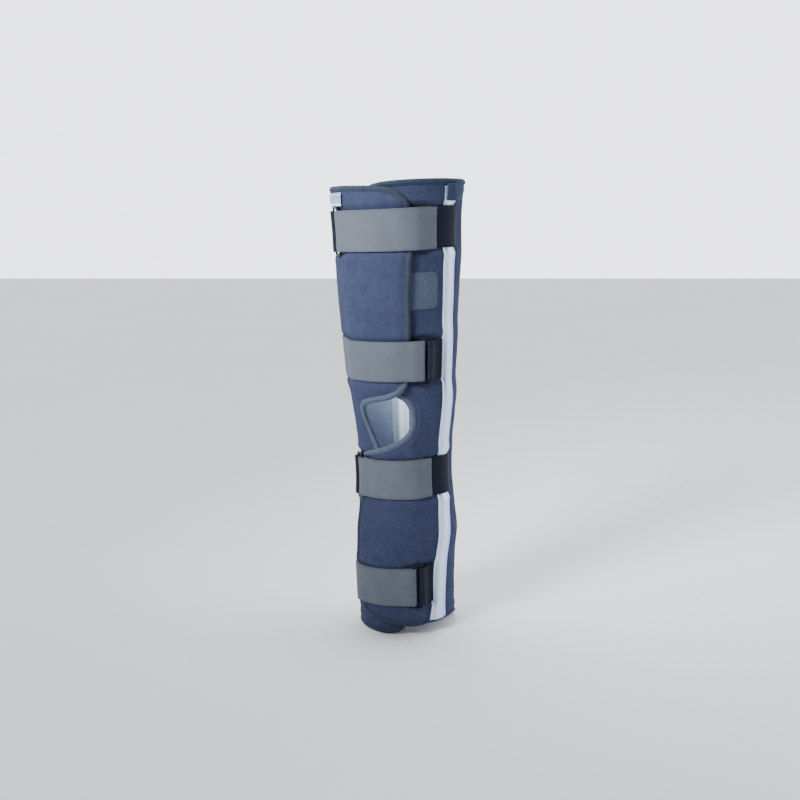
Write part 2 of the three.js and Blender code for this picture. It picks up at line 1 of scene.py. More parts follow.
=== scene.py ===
import math
import bmesh
import bpy
import numpy as np
from mathutils import Matrix, Vector, noise


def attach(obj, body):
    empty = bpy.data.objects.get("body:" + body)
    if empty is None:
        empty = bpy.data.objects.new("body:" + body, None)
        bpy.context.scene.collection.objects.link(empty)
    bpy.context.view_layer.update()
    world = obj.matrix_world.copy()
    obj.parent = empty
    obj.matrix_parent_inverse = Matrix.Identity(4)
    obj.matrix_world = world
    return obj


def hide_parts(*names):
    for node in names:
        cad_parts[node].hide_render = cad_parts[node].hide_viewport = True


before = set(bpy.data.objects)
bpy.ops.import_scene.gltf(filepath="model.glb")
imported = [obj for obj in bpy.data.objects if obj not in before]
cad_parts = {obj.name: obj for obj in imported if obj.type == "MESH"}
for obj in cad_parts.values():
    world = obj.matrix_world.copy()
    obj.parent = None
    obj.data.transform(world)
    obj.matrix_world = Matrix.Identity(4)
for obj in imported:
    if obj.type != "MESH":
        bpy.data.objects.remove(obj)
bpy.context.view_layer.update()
mm = 0.001

# shape of the whole brace, in mm, with heights as shares of the height; the front faces -Y
braceShape = {
    "height": 578.0, "topRadius": 84.5, "axis": (-2.540, 3.581), "rimSlant": 10.0, "rimRoom": 1.4,
    "girths": [(0.000, 0.740), (0.046, 0.746), (0.115, 0.750), (0.226, 0.772), (0.278, 0.746),
               (0.360, 0.708), (0.435, 0.735), (0.492, 0.779), (0.536, 0.816), (0.624, 0.860),
               (0.704, 0.893), (0.757, 0.920), (0.809, 0.938), (0.899, 0.948), (0.967, 0.982),
               (1.000, 1.000)],  # share of the height, share of topRadius
    "sways": [(0.000, 0.007), (0.158, 0.007), (0.226, 0.042), (0.402, 0.042), (0.435, 0.034),
              (0.492, 0.040), (0.536, 0.036), (0.578, 0.001), (0.664, 0.001), (0.704, -0.012),
              (0.757, -0.010), (0.809, -0.006), (0.854, 0.006), (0.940, 0.006), (0.967, 0.010),
              (1.000, 0.014)],  # the same, for the shift of the middle towards +X
    "topDrops": [(-80, 0.60), (-5, 0.55), (8, 0.25), (61, 0.00), (77, 0.05), (95, 0.10), (120, 0.30),
                 (180, 0.70), (270, 0.90), (297, 0.65), (335, 0.60), (347, 0.65), (400, 0.75)],
    "bottomRises": [(-80, 1.3), (60, 1.3), (99, 1.15), (126, 0), (400, 0)],  # degrees, share of rimSlant
}

# the two flaps' free edges from top to bottom: degrees from the kneecap, share of the height
flapShape = {
    "layerStep": 6.6, "windowTop": 0.533, "windowBottom": 0.442, "curveStep": 1.5,
    "innerRamp": (315, 333), "outerRamp": (45, 27),
    "innerEdge": [
        (-6, None), (1, 0.985), (8, 0.983), (15, 0.979), (20, 0.972), (25.5, 0.959), (28.5, 0.947),
        (30, 0.933), (30.8, 0.905), (30.8, 0.859), (29.3, 0.803), (28.4, 0.751), (28.1, 0.682),
        (27, 0.609), (24.5, 0.574), (20.5, 0.561), (14.5, 0.55), (4, 0.541), (-7, 0.5357), (-16, 0.5305),
        (-22, 0.5245), (-25.3, 0.514), (-26, 0.498), (-24, 0.478), (-20, 0.452), (-15.5, 0.433),
        (-8, 0.411), (4, 0.386), (15, 0.358), (21, 0.322), (22, 0.278), (22, 0.104), (21, 0.056),
        (17, 0.025), (10, 0.0115), (2, 0.006), (-8, None)],
    "outerEdge": [
        (6, None), (-3, 0.987), (-9, 0.976), (-12, 0.952), (-12, 0.696), (-12, 0.612), (-9, 0.578),
        (-2, 0.56), (7, 0.55), (14, 0.543), (20, 0.535), (24.5, 0.521), (26.6, 0.501), (26.3, 0.48),
        (23, 0.463), (18, 0.452), (11, 0.443), (0, 0.4335), (-12, 0.4255), (-24, 0.418), (-33, 0.41),
        (-39, 0.397), (-41, 0.379), (-40.5, 0.356), (-39, 0.33), (-40, 0.303), (-43, 0.278), (-45, 0.243),
        (-45.5, 0.209), (-45, 0.174), (-43, 0.13), (-40, 0.087), (-36, 0.064), (-29, 0.0485),
        (-19, 0.0402), (-6, 0.0325), (8, 0.029), (18, 0.0272), (27, 0.0262), (36, None)],
}

# straps from the thigh down, in mm and degrees from the kneecap; side 1 has its loop on the outer side
strapShape = {
    "width": 50.0, "thickness": 1.6, "layerGap": 0.35, "bridgeSlope": 0.45, "openAngle": 15.0,
    "barWidth": 2.8, "barThickness": 2.2, "barRoom": 0.35, "slotGap": 3.5, "softness": 0.4,
    "edgeDroop": 0.25, "wave": 0.18, "waveLength": 9.0, "sideways": 0.25, "sidewaysLength": 27.0,
    "rows": [
        {"name": "thighStrapUpper", "node": "thigh_strap_upper", "height": 0.897, "side": -1, "sewn": 86,
         "loop": -44, "end": 55, "tab": -78, "slant": -0.6, "tilt": 2.0},
        {"name": "thighStrapLower", "node": "thigh_strap_lower", "height": 0.621, "side": 1, "sewn": -98,
         "loop": 43, "end": -80, "tab": 62.5, "slant": 0.8, "tilt": 0.0},
        {"name": "calfStrapUpper", "node": "calf_strap_upper", "height": 0.359, "side": -1, "sewn": 90,
         "loop": -44, "end": 52, "tab": -74, "slant": -0.6, "tilt": 0.6},
        {"name": "calfStrapLower", "node": "calf_strap_lower", "height": 0.115, "side": 1, "sewn": -96,
         "loop": 31, "end": -80, "tab": 50, "slant": 0.0, "tilt": 3.5},
    ],
}

# how the foam gives, in mm, with squeezeFade and tabReach in degrees
foamFeel = {
    "wall": 3.6, "squeeze": 3.1, "tabSqueeze": 5.0, "squeezeEdge": 9.0, "squeezeFade": 14.0, "tabReach": 26.0,
    "strapPuff": 1.0, "strapPuffAt": 9.0, "strapPuffWidth": 5.5,
    "crease": 0.225, "creaseAt": 5.0, "creaseWidth": 5.0, "creaseCount": 22, "creaseDrift": 1.7,
    "edgePuff": 0.9, "edgePuffAt": 11.5, "edgePuffWidth": 3.6, "underTape": 5.0, "calmEdge": 12.0,
    "ripple": 0.28, "rippleLength": 15.0,
    "dents": 0.8, "dentSize": 55.0, "fineDents": 0.35, "fineDensity": 3.1,
}

height = braceShape["height"]


def smoothTable(rows, count=1200):  # cubic through the rows without overshoot
    x, y = np.array(rows, float).T
    step = np.diff(x)
    slope = np.diff(y) / step
    tangent = np.concatenate([[slope[0]], (slope[1:] + slope[:-1]) / 2, [slope[-1]]])
    tangent[1:-1][slope[1:] * slope[:-1] <= 0] = 0
    fine = np.linspace(x[0], x[-1], count)
    k = np.clip(np.searchsorted(x, fine, side="right") - 1, 0, len(x) - 2)
    t = (fine - x[k]) / step[k]
    value = ((2 * t**3 - 3 * t**2 + 1) * y[k] + (t**3 - 2 * t**2 + t) * step[k] * tangent[k]
             + (3 * t**2 - 2 * t**3) * y[k + 1] + (t**3 - t**2) * step[k] * tangent[k + 1])
    return fine, value


def easeStep(x):
    x = np.clip(x, 0, 1)
    return x * x * (3 - 2 * x)


def hump(x, middle, width):
    return np.exp(-((x - middle) / width)**2)


def lengthAlong(points):
    return np.concatenate([[0], np.cumsum(np.linalg.norm(np.diff(points, axis=0), axis=1))])


def pairAt(where, gone, pairs):
    return np.interp(where, gone, pairs[:, 0]), np.interp(where, gone, pairs[:, 1])


girthTable = smoothTable([(h * height, r * braceShape["topRadius"]) for h, r in braceShape["girths"]])
dropTable = smoothTable(braceShape["topDrops"])
riseTable = smoothTable(braceShape["bottomRises"])
swayTable = smoothTable([(h * height, s * braceShape["topRadius"]) for h, s in braceShape["sways"]])


def skinAt(z):  # radius of the relaxed brace at a height
    return np.interp(z, *girthTable)


def middleAt(z):  # where the brace's middle lies at a height
    ax, ay = braceShape["axis"]
    return np.interp(z, *swayTable) + ax, ay


def rimTop(turn):
    return height - braceShape["rimRoom"] - braceShape["rimSlant"] * np.interp(turn, *dropTable)


def rimBottom(turn):
    return braceShape["rimRoom"] + braceShape["rimSlant"] * np.interp(turn, *riseTable)


def flatCurve(table, turnOffset):  # a free edge as dense points (turn, z), from bottom to top
    points = []
    for i, (front, share) in enumerate(table):
        turn = front + turnOffset
        z = share * height if share is not None else float(rimTop(turn) if i == 0 else rimBottom(turn))
        points.append((math.radians(turn) * float(skinAt(z)), z))
    p = np.array(points[::-1])
    ends = np.vstack([2 * p[0] - p[1], p, 2 * p[-1] - p[-2]])
    made = []
    for i in range(1, len(ends) - 2):
        a, b, c, d = ends[i - 1:i + 3]
        count = max(3, int(np.linalg.norm(c - b) / flapShape["curveStep"]))
        for t in np.arange(count) / count:
            made.append(0.5 * (2 * b + (c - a) * t + (2 * a - 5 * b + 4 * c - d) * t**2
                               + (3 * b - a - 3 * c + d) * t**3))
    made.append(p[-1])
    made = np.array(made)
    made[:, 1] = np.maximum.accumulate(made[:, 1])
    turns = np.degrees(made[:, 0] / skinAt(made[:, 1]))
    return np.column_stack([turns, made[:, 1]])


innerBorder = flatCurve(flapShape["innerEdge"], 360)
outerBorder = flatCurve(flapShape["outerEdge"], 0)


def shareOfHeight(border):  # of the way from rim to rim, always rising
    low, high = rimBottom(border[:, 0]), rimTop(border[:, 0])
    share = np.clip((border[:, 1] - low) / (high - low), 0, 1)
    return np.maximum.accumulate(share + np.arange(len(share)) * 1e-9)


innerShares = shareOfHeight(innerBorder)
outerShares = shareOfHeight(outerBorder)


def rimLine(heightOf, fromTurn, toTurn, count=260):
    turns = np.linspace(fromTurn, toTurn, count)
    return np.column_stack([turns, heightOf(turns)])


topBorder = rimLine(rimTop, outerBorder[-1, 0], innerBorder[-1, 0])
bottomBorder = rimLine(rimBottom, outerBorder[0, 0], innerBorder[0, 0])


def flatPlace(turn, z):
    return np.column_stack([np.radians(turn) * skinAt(z), z])


borderPoints = np.vstack([flatPlace(b[:, 0], b[:, 1])
                          for b in (innerBorder, outerBorder, topBorder, bottomBorder)])


def edgeDistance(turn, z, batch=4000):  # to the nearest cut edge of the foam
    places = flatPlace(turn, z)
    out = np.empty(len(places))
    for start in range(0, len(places), batch):
        part = places[start:start + batch]
        gap = part[:, None, :] - borderPoints[None, :, :]
        out[start:start + batch] = np.sqrt((gap**2).sum(axis=2).min(axis=1))
    return out


def sheetLift(turn, z):  # how far a flap is lifted where it lies over the other one
    onTop = easeStep((z / height - flapShape["windowBottom"])
                     / (flapShape["windowTop"] - flapShape["windowBottom"]))
    a, b = flapShape["innerRamp"]
    inner = onTop * easeStep((turn - a) / (b - a))
    a, b = flapShape["outerRamp"]
    outer = (1 - onTop) * easeStep((a - turn) / (a - b))
    return flapShape["layerStep"] * np.where(turn > 180, inner, outer)


def strapHeight(strap, front):  # the strap's middle, a little higher towards the outer side
    return strap["height"] * height + strap["tilt"] * np.sin(np.radians(front))


def strapPress(turn, z):  # foam pulled in under the straps and puffed up beside them
    feel, fade = foamFeel, foamFeel["squeezeFade"]
    front = (turn + 180) % 360 - 180
    angle = np.radians(front)
    total = np.zeros(len(front))
    for strap in strapShape["rows"]:
        ends = (strap["sewn"], strap["tab"], strap["end"])
        around = easeStep((front - min(ends) + fade) / fade) * easeStep((max(ends) + fade - front) / fade)
        beyond = np.abs(z - strapHeight(strap, front)) - strapShape["width"] / 2
        inside = 1 - easeStep((beyond + 2) / feel["squeezeEdge"])
        puff = hump(beyond, feel["strapPuffAt"], feel["strapPuffWidth"])
        drift = feel["creaseDrift"] * np.sin(angle * 5 + z * 0.01)
        creases = np.sin(angle * feel["creaseCount"] + drift)
        creases *= hump(beyond, feel["creaseAt"], feel["creaseWidth"])
        byTab = hump(front, (strap["loop"] + strap["tab"]) / 2, feel["tabReach"])  # pulled tightest there
        press = feel["squeeze"] + feel["tabSqueeze"] * byTab * (strap["side"] < 0)
        total += around * (feel["strapPuff"] * puff - press * inside + feel["crease"] * creases)
    return total


def softDents(turn, z):
    radius = skinAt(z)
    angle = np.radians(turn)
    size = foamFeel["dentSize"]
    points = np.column_stack([radius * np.sin(angle), -radius * np.cos(angle), z]) / size
    broad = np.array([noise.noise(Vector(p)) for p in points])
    fine = np.array([noise.noise(Vector(p * foamFeel["fineDensity"] + 7)) for p in points])
    return foamFeel["dents"] * (broad + foamFeel["fineDents"] * fine)


def surfaceRadius(turn, z):  # outside of the foam
    turn, z = np.broadcast_arrays(np.atleast_1d(turn), z)
    away = edgeDistance(turn, z)
    along = np.radians(turn) * skinAt(z) + z
    feel = foamFeel
    puff = hump(away, feel["edgePuffAt"], feel["edgePuffWidth"]) * (away > feel["underTape"])
    ripple = 1 + feel["ripple"] / feel["edgePuff"] * np.sin(along * 2 * math.pi / feel["rippleLength"])
    free = 0.35 + 0.65 * easeStep(away / feel["calmEdge"])  # the tape holds the dents down
    return (skinAt(z) + sheetLift(turn, z) + strapPress(turn, z)
            + feel["edgePuff"] * puff * ripple + softDents(turn, z) * free)


def polarPlace(turn, radius, z):
    angle = np.radians(turn)
    ax, ay = middleAt(z)
    return np.column_stack([radius * np.sin(angle) + ax, -radius * np.cos(angle) + ay,
                            np.broadcast_to(z, np.shape(radius))]) * mm


def onFoam(turn, z, depth):
    return polarPlace(turn, surfaceRadius(turn, z) + depth, z)


# materials: shader sums are written with Python's own operators
class Value:
    def __init__(self, shader, socket):
        self.shader, self.socket = shader, socket

    def calc(self, operation, *others, clamp=False):
        return self.shader.add("ShaderNodeMath", {"operation": operation, "use_clamp": clamp},
                               [self, *others])

    def __add__(self, other):
        return self.calc("ADD", other)

    def __mul__(self, other):
        return self.calc("MULTIPLY", other)

    def __sub__(self, other):
        return self.calc("SUBTRACT", other)

    def __rsub__(self, other):
        return self.shader.add("ShaderNodeMath", {"operation": "SUBTRACT"}, [other, self])

    def clamped(self):  # kept between 0 and 1
        return self.calc("ADD", 0.0, clamp=True)

    def wave(self, length):
        return (self * (2 * math.pi / length)).calc("SINE")

    __radd__ = __add__


class Shader:
    def __init__(self, name, roughness, specular, metallic=0.0):
        self.take(bpy.data.materials.new(name), "Principled BSDF")
        self.surface.inputs["Roughness"].default_value = roughness
        self.surface.inputs["Specular IOR Level"].default_value = specular
        self.surface.inputs["Metallic"].default_value = metallic

    def take(self, owner, surface):
        owner.use_nodes = True
        self.material = owner
        self.tree = owner.node_tree
        self.surface = self.tree.nodes[surface]

    def add(self, kind, settings=None, values=None, out=0):
        node = self.tree.nodes.new(kind)
        for key, value in (settings or {}).items():
            setattr(node, key, value)
        pairs = values.items() if isinstance(values, dict) else enumerate(values or [])
        for key, value in pairs:
            if isinstance(value, Value):
                self.tree.links.new(value.socket, node.inputs[key])
            else:
                node.inputs[key].default_value = value
        return Value(self, node.outputs[out])

    def feed(self, socket, value):
        self.tree.links.new(value.socket, self.surface.inputs[socket])

    def objectPlace(self):
        return self.add("ShaderNodeTexCoord", out="Object")

    def clothPlace(self):
        return self.add("ShaderNodeUVMap", {"uv_map": "cloth"})

    def axes(self, vector):
        node = self.tree.nodes.new("ShaderNodeSeparateXYZ")
        self.tree.links.new(vector.socket, node.inputs[0])
        return [Value(self, out) for out in node.outputs]

    def grain(self, scale, detail=3.0, roughness=0.6, place=None):
        return self.add("ShaderNodeTexNoise", {}, {"Vector": place or self.objectPlace(), "Scale": scale,
                                                   "Detail": detail, "Roughness": roughness})

    def blend(self, share, a, b):
        return self.add("ShaderNodeMix", {"data_type": "RGBA"}, {0: share, 6: a, 7: b}, out=2)

    def tint(self, tone, look):
        return self.blend(tone, look["dark"], look["light"])

    def relief(self, height, strength, distance):
        bump = self.add("ShaderNodeBump", {}, {"Strength": strength, "Distance": distance,
                                               "Height": height})
        self.feed("Normal", bump)


def rgb(r, g, b):  # display values, 0 to 255, as linear colour
    linear = [((c / 255 + 0.055) / 1.055)**2.4 if c > 10 else c / 255 / 12.92 for c in (r, g, b)]
    return (*linear, 1.0)


def twoTone(dark, light, **more):
    return {"dark": rgb(*dark), "light": rgb(*light), **{key: rgb(*tone) for key, tone in more.items()}}


clothLook = {
    "foam": twoTone((40, 47, 69), (68, 75, 102)),
    "lining": twoTone((90, 104, 130), (126, 140, 164)),
    # the third tone of the band and the satin is painted shade, for the half turned away from the light
    "band": twoTone((204, 220, 240), (230, 242, 254), far=(104, 122, 144)),
    "tape": twoTone((38, 44, 58), (66, 74, 90)),
    # paintedLightTape is the tape's painted highlight, lighter, for round the knee window
    "paintedLightTape": twoTone((62, 71, 88), (98, 108, 126)),
    # paintedShadeTape is the tape's painted shade, darker, for the right side, low down and the bottom rim
    "paintedShadeTape": twoTone((34, 42, 60), (62, 72, 94)),
    "webbing": twoTone((74, 79, 89), (106, 111, 121)),
    # a darker tone of the webbing, shown near the sewn end
    "sewnWebbing": twoTone((12, 16, 28), (28, 35, 50)),
    "tab": twoTone((14, 18, 28), (38, 44, 58)),
    "satin": twoTone((196, 216, 255), (232, 243, 255), far=(168, 190, 252)),
    "patch": twoTone((60, 70, 88), (90, 100, 119)),
    "label": twoTone((70, 90, 150), (176, 194, 236), hem=(222, 230, 246)),
}

# lengths of the threads in metres, and where a cloth's look changes, painted light and shade included
threads = {"tapeRib": 0.0013, "tapeTwist": 0.0026, "tapeColumn": 0.0012, "warp": 0.0016, "weft": 0.0014,
           "satin": 0.0009, "hookRidge": 0.0022}
zones = {
    # where the tape's painted shade and painted highlight fall
    "rightShadeFrom": 0.004, "rightShadeSlope": 50.0, "paintedLightAt": 0.282, "paintedLightReach": 0.062, "paintedLightSlope": 40.0,
    "lowShadeBelow": 0.2, "lowShadeSlope": 25.0, "sewnEnd": 0.052, "selvage": 0.0228, "webbingMiddle": 0.025,
    # the first three: where the painted shade on the satin and the band starts, how steeply it comes and how
    # strong it is
    "farFrom": 0.0125, "farSlope": 220.0, "farShare": 0.8, "hem": 0.0032,
    "patchMiddle": 0.0225, "patchBorder": 0.0185,
}


def brushedKnit(name, look, cloudScale=26.0, fibre=1.0):
    s = Shader(name, 0.92, 0.08)
    cloud = s.grain(cloudScale, 3.0, 0.55)
    mottle = s.grain(130.0, 4.0, 0.7)
    nap = s.grain(420.0, 3.0, 0.75)
    fleck = s.grain(1500.0, 2.0, 0.7)
    tone = (cloud * 0.5 + mottle * 0.75 + nap * 0.4 + fleck * 0.2).calc("SUBTRACT", 0.43, clamp=True)
    s.feed("Base Color", s.tint(tone, look))
    s.feed("Roughness", 0.8 + nap * 0.16)
    s.relief(nap * 0.6 + fleck * 0.5 + mottle * 0.8 + cloud * 0.4, 0.4 * fibre, 0.001)
    return s.material


def knitTape(name, look, rightShadeLook=None, paintedLightLook=None, lowShadeLook=None):  # painted light and shade by place: lighter near the knee window, darker on the right and low down
    s = Shader(name, 0.75, 0.12)
    along, across, _ = s.axes(s.clothPlace())
    rib = along * (2 * math.pi / threads["tapeRib"]) + across.wave(threads["tapeTwist"]) * 1.2
    rib = rib.calc("SINE") * 0.5 + 0.5
    column = across.wave(threads["tapeColumn"]) * 0.5 + 0.5
    grain = s.grain(160.0)
    tone = (rib * 0.3 + column * 0.2 + grain * 0.6).calc("SUBTRACT", 0.1, clamp=True)
    colour = s.tint(tone, look)
    x, _, z = s.axes(s.objectPlace())
    # painted shade: darker towards the right side
    if rightShadeLook:
        outward = ((x - zones["rightShadeFrom"]) * zones["rightShadeSlope"]).clamped()
        colour = s.blend(outward, colour, s.tint(tone, rightShadeLook))
    # painted highlight: lighter tape round the knee window's height
    if paintedLightLook:
        paintedLight = (zones["paintedLightReach"] - (z - zones["paintedLightAt"]).calc("ABSOLUTE")) * zones["paintedLightSlope"]
        colour = s.blend(paintedLight.clamped(), colour, s.tint(tone, paintedLightLook))
    # painted shade: darker low down
    if lowShadeLook:
        low = ((zones["lowShadeBelow"] - z) * zones["lowShadeSlope"]).clamped()
        colour = s.blend(low, colour, s.tint(tone, lowShadeLook))
    s.feed("Base Color", colour)
    s.feed("Roughness", 0.66 + grain * 0.2)
    s.relief(rib * 0.6 + column * 0.5, 0.45, 0.0005)
    return s.material


def wovenWebbing(name, look, loopy=0.5, sewnLook=None):  # sewnLook, a darker tone, shows from the sewn end for the length sewnEnd
    s = Shader(name, 0.8, 0.14)
    along, across, _ = s.axes(s.clothPlace())
    warp = across.wave(threads["warp"])
    weft = (along * (2 * math.pi / threads["weft"]) + warp * 0.9).calc("SINE")
    weave = weft * 0.28 + warp * 0.22 + 0.5
    fuzz = s.grain(900.0, 3.0, 0.7)
    cloud = s.grain(45.0, 3.0, 0.6)
    selvage = (across - zones["webbingMiddle"]).calc("ABSOLUTE").calc("GREATER_THAN", zones["selvage"])
    tone = (weave * 0.35 + fuzz * 0.4 + cloud * 0.5).calc("SUBTRACT", 0.13, clamp=True)
    tone = tone * (1 - selvage * 0.35)
    colour = s.tint(tone, look)
    # darker webbing for the length sewnEnd from the sewn end
    if sewnLook:
        beyond = along.calc("GREATER_THAN", zones["sewnEnd"])
        colour = s.blend(beyond, s.tint(tone, sewnLook), colour)
    s.feed("Base Color", colour)
    s.feed("Roughness", 0.6 + fuzz * 0.22)
    s.relief(weave * (0.9 - loopy * 0.4) + fuzz * (0.3 + loopy * 0.5), 0.4, 0.0005)
    return s.material


def satinCloth(name, look, gloss=0.45):
    s = Shader(name, 0.36, 0.5, gloss)
    along, across, _ = s.axes(s.clothPlace())
    thread = across.wave(threads["satin"]) * 0.5 + 0.5
    stretched = s.add("ShaderNodeMapping", {}, {"Vector": s.clothPlace(), "Scale": (60.0, 900.0, 1.0)})
    slub = s.grain(1.0, place=stretched)
    cloud = s.grain(60.0, 2.0)
    tone = (slub * 0.6 + cloud * 0.5 + thread * 0.15).calc("SUBTRACT", 0.1, clamp=True)
    if "hem" in look:  # the label's blotches, and its pale lower edge
        tone = ((s.grain(300.0, 3.0, 0.6) - 0.36) * 3.2).clamped()
    colour = s.tint(tone, look)
    if "hem" in look:
        colour = s.blend(across.calc("LESS_THAN", zones["hem"]), colour, look["hem"])
    if "far" in look:  # painted shade over the half that is turned away from the light
        far = ((along - zones["farFrom"]) * zones["farSlope"]).clamped() * zones["farShare"]
        colour = s.blend(far, colour, look["far"])
    s.feed("Base Color", colour)
    s.feed("Roughness", 0.32 + slub * 0.2)
    s.relief(thread * 0.4 + slub * 0.6, 0.25, 0.0004)
    return s.material


def hookCloth(name, look):
    s = Shader(name, 0.9, 0.2)
    _, across, _ = s.axes(s.clothPlace())
    fromMiddle = (across - zones["patchMiddle"]).calc("ABSOLUTE")
    border = fromMiddle.calc("GREATER_THAN", zones["patchBorder"])
    ridge = fromMiddle.wave(threads["hookRidge"]) * border
    dots = s.add("ShaderNodeTexVoronoi", {}, {"Vector": s.objectPlace(), "Scale": 620.0,
                                              "Randomness": 0.45}, out="Distance")
    grain = s.grain(240.0)
    bead = (1 - dots * 1.5).calc("MAXIMUM", 0.0)
    tone = bead * 0.5 + grain * 0.4 + ridge * 0.25 + border * 0.12
    s.feed("Base Color", s.tint(tone.clamped(), look))
    s.feed("Roughness", 0.8 + bead * 0.12)
    s.relief(bead * (1 - border * 0.7) + ridge * 0.8, 0.6, 0.0007)
    return s.material


def mouldedPlastic(name, colour):
    s = Shader(name, 0.45, 0.3)
    grain = s.grain(700.0, 2.0)
    scuff = s.grain(90.0, 4.0, 0.7)
    s.feed("Base Color", s.blend(scuff * 0.6, colour, rgb(20, 23, 32)))
    s.feed("Roughness", 0.28 + scuff * 0.22)
    s.relief(grain, 0.12, 0.0002)
    return s.material


def sewingThread(name, colour):
    s = Shader(name, 0.6, 0.2)
    grain = s.grain(1800.0, 2.0)
    s.feed("Base Color", s.blend(grain, colour, tuple(min(1.0, c * 1.5) for c in colour[:3]) + (1.0,)))
    return s.material


finish = {
    "foam": brushedKnit("brushedKnit", clothLook["foam"]),
    "lining": brushedKnit("liningKnit", clothLook["lining"], 31.0, 0.5),
    "tape": knitTape("knitTape", clothLook["tape"], paintedLightLook=clothLook["paintedLightTape"],
                     lowShadeLook=clothLook["paintedShadeTape"]),
    # the top tape takes painted shade on its right part, the rim tape all along
    "topTape": knitTape("topKnitTape", clothLook["tape"], rightShadeLook=clothLook["paintedShadeTape"]),
    "paintedShadeTape": knitTape("paintedShadeKnitTape", clothLook["paintedShadeTape"]),
    "webbing": wovenWebbing("greyWebbing", clothLook["webbing"]),
    "darkEndWebbing": wovenWebbing("darkEndWebbing", clothLook["webbing"], sewnLook=clothLook["sewnWebbing"]),
    "tab": wovenWebbing("charcoalWebbing", clothLook["tab"], 0.2),
    "satin": satinCloth("whiteSatin", clothLook["satin"]),
    "band": satinCloth("paleBand", clothLook["band"], 0.0),
    "patch": hookCloth("hookCloth", clothLook["patch"]),
    "label": satinCloth("wovenLabel", clothLook["label"], 0.0),
    "plastic": mouldedPlastic("blackPlastic", rgb(7, 9, 14)),
    "greyThread": sewingThread("greyThread", rgb(96, 108, 130)),
    "whiteThread": sewingThread("whiteThread", rgb(206, 214, 232)),
    "darkThread": sewingThread("darkThread", rgb(38, 46, 66)),
}
print("materials:", len(finish))


# making pieces: every one rides the root and may stand for a node of the part
def addMesh(name, bm, materials):
    mesh = bpy.data.meshes.new(name)
    bm.to_mesh(mesh)
    bm.free()
    for material in materials:
        mesh.materials.append(material)
    made = bpy.data.objects.new(name, mesh)
    bpy.context.scene.collection.objects.link(made)
    return made


def finishPiece(name, bm, materials, node=None, slot=None):
    piece = addMesh(name, bm, [finish[material] for material in materials])
    piece.data.polygons.foreach_set("use_smooth", [True] * len(piece.data.polygons))
    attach(piece, "root")
    if node:
        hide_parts(node)
    return piece


def layCloth(name, placeAt, materials, columns, rows, **words):  # a grid of cloth, laid where placeAt says
    bm = bmesh.new()
    bmesh.ops.create_grid(bm, x_segments=columns, y_segments=rows, size=0.5)
    a = np.array([v.co.x + 0.5 for v in bm.verts])
    b = np.array([v.co.y + 0.5 for v in bm.verts])
    places, flat = placeAt(a, b)
    flat = np.column_stack(flat) * mm
    uvLayer = bm.loops.layers.uv.new("cloth")
    for vert, place in zip(bm.verts, places):
        vert.co = place
    for face in bm.faces:
        for loop in face.loops:
            loop[uvLayer].uv = flat[loop.vert.index]
    return finishPiece(name, bm, materials, **words)


def thicken(piece, thickness, offset=-1.0, liningSlot=0):
    solid = piece.modifiers.new("thickness", "SOLIDIFY")
    solid.thickness = thickness * mm
    solid.offset = offset
    solid.material_offset = liningSlot


def softenEdges(piece, width):
    bevel = piece.modifiers.new("soft edges", "BEVEL")
    bevel.width = width * mm
    bevel.segments = 2
    bevel.limit_method = "ANGLE"
    bevel.angle_limit = math.radians(50)


# the wrap's grid, with turns and eases in degrees
wrapMesh = {"firstTurn": -45.5, "lastTurn": 390.3, "outerEase": 135.0, "innerEase": 110.0}


def wrapPlace(a, b):  # spreads the grid evenly between the two flaps' free edges
    first, last = wrapMesh["firstTurn"], wrapMesh["lastTurn"]
    base = first + a * (last - first)
    left = np.interp(b, outerShares, outerBorder[:, 0]) - first
    right = np.interp(b, innerShares, innerBorder[:, 0]) - last
    turn = (base + left * np.clip(1 - (base - first) / wrapMesh["outerEase"], 0, 1)
            + right * np.clip(1 - (last - base) / wrapMesh["innerEase"], 0, 1))
    z = rimBottom(turn) + b * (rimTop(turn) - rimBottom(turn))
    return turn, z


def layWrap(a, b):
    turn, z = wrapPlace(a, b)
    return onFoam(turn, z, 0.0), flatPlace(turn, z).T


wrap = layCloth("foamWrap", layWrap, ["foam", "lining"], columns=184, rows=196, node="wrap",
                slot="foam_laminate")
thicken(wrap, foamFeel["wall"], liningSlot=1)
print("wrap laid")


# tape over the edges; room is what other pieces leave free along an edge
tapeShape = {"room": 6.6, "roundRadius": 2.45, "thickness": 0.7, "step": 2.2,
             "inward": 1.0, "welt": 0.8, "tuck": 0.45, "pucker": 0.12, "puckerLength": 5.2,
             "rimReach": 1.39, "seamIn": 1.1, "seamLift": 0.62, "seamStep": 3.0}


def evenPoints(border, step):
    gone = lengthAlong(flatPlace(border[:, 0], border[:, 1]))
    count = max(2, int(gone[-1] / step))
    at = np.linspace(0, gone[-1], count + 1)
    turn, z = pairAt(at, gone, border)
    way = np.gradient(flatPlace(turn, z), axis=0)
    way /= np.linalg.norm(way, axis=1)[:, None]
    return turn, z, way, at


def tapeSection(b, face):  # reach in from the edge, and height over the foam, once round the edge
    radius = tapeShape["roundRadius"]
    total = 2 * face + math.pi * radius
    gone = b * total
    middle = -foamFeel["wall"] / 2
    angle = np.clip((gone - face) / radius, 0, math.pi)
    reach = tapeShape["inward"] - radius * np.sin(angle)
    reach = reach + np.maximum(0, face - gone) + np.maximum(0, gone - total + face)
    depth = middle + radius * np.cos(angle)
    welt = tapeShape["welt"] * np.sin(math.pi * np.clip(reach / face, 0, 1))
    welt = welt - tapeShape["tuck"] * hump(reach, face, 1.0)
    return reach, depth + np.sign(depth - middle) * welt, gone


def inwardOf(way, side):
    return np.column_stack([-way[:, 1], way[:, 0]]) * side


